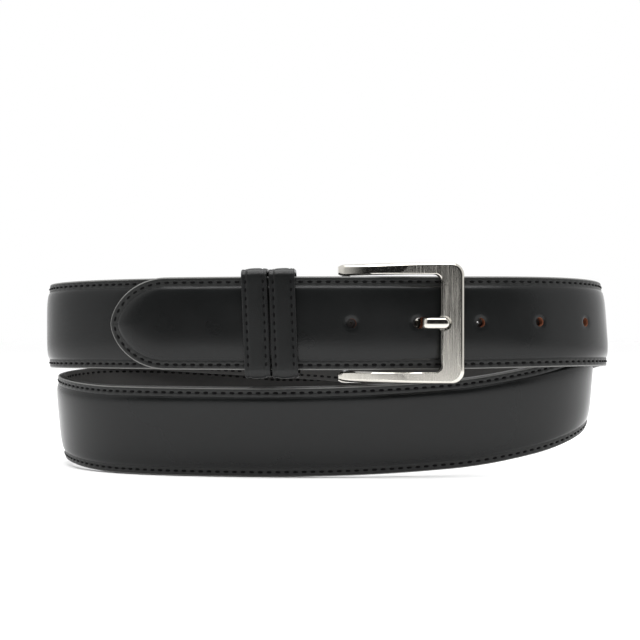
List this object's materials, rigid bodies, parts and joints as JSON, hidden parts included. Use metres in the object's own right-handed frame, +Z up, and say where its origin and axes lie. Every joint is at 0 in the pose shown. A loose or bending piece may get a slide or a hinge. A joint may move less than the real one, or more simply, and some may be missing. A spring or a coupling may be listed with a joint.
{
  "type": "leather belt",
  "caption": "Gentleman's leather dress belt with a square buckle, a pointed prong and leather keepers, buckled and coiled twice round on its edge.",
  "frame": {"origin": "middle of the coil's footprint, on the surface that it stands on", "axes": "+X to the right along the buckled front, -Y out of the front, +Z up"},
  "size_m": [0.24, 0.1258, 0.0814],
  "materials": {
    "face_leather": "smooth satin black calf",
    "keeper_leather": "smooth satin black calf",
    "padding_board": "raw brown fibreboard",
    "lining_leather": "matt black lining",
    "thread": "waxed black thread",
    "steel_wire": "drawn wire",
    "brushed_nickel": "satin brushed faces with polished edges",
    "polished_nickel": "polished",
    "steel_pin": "plain turned",
    "snap_metal": "nickel-plated brass",
    "snap_cap": "dark nickel"
  },
  "bodies": {
    "strap": {"strap_face": "face_leather", "strap_padding": "padding_board", "strap_lining": "lining_leather", "face_thread_upper": "thread", "face_thread_lower": "thread", "back_thread_upper": "thread", "back_thread_lower": "thread", "snap_1_post": "snap_metal", "snap_1_stud": "snap_metal", "snap_1_socket": "snap_metal", "snap_1_cap": "snap_cap", "snap_2_post": "snap_metal", "snap_2_stud": "snap_metal", "snap_2_socket": "snap_metal", "snap_2_cap": "snap_cap", "fixed_keeper": "keeper_leather", "fixed_keeper_staple": "steel_wire"},
    "buckle": {"buckle_frame": "brushed_nickel", "heel_bar": "steel_pin"},
    "prong": {"prong": "polished_nickel"},
    "keeper": {"sliding_keeper": "keeper_leather", "sliding_keeper_staple": "steel_wire"}
  },
  "joints": [
    {"name": "buckle_swing", "type": "hinge", "parent": "strap", "child": "buckle", "pos_m": [0.00676, -0.051, 0.0589], "axis": [0, 0, -1], "range_deg": [0, 2.5]},
    {"name": "prong_lift", "type": "hinge", "parent": "buckle", "child": "prong", "pos_m": [0.00676, -0.051, 0.0589], "axis": [0, 0, -1], "range_deg": [0, 2.5]},
    {"name": "keeper_slide", "type": "hinge", "parent": "strap", "child": "keeper", "pos_m": [-0.00006, 0.24147, 0.0589], "axis": [0, 0, -1], "range_deg": [0, 4.5]}
  ]
}
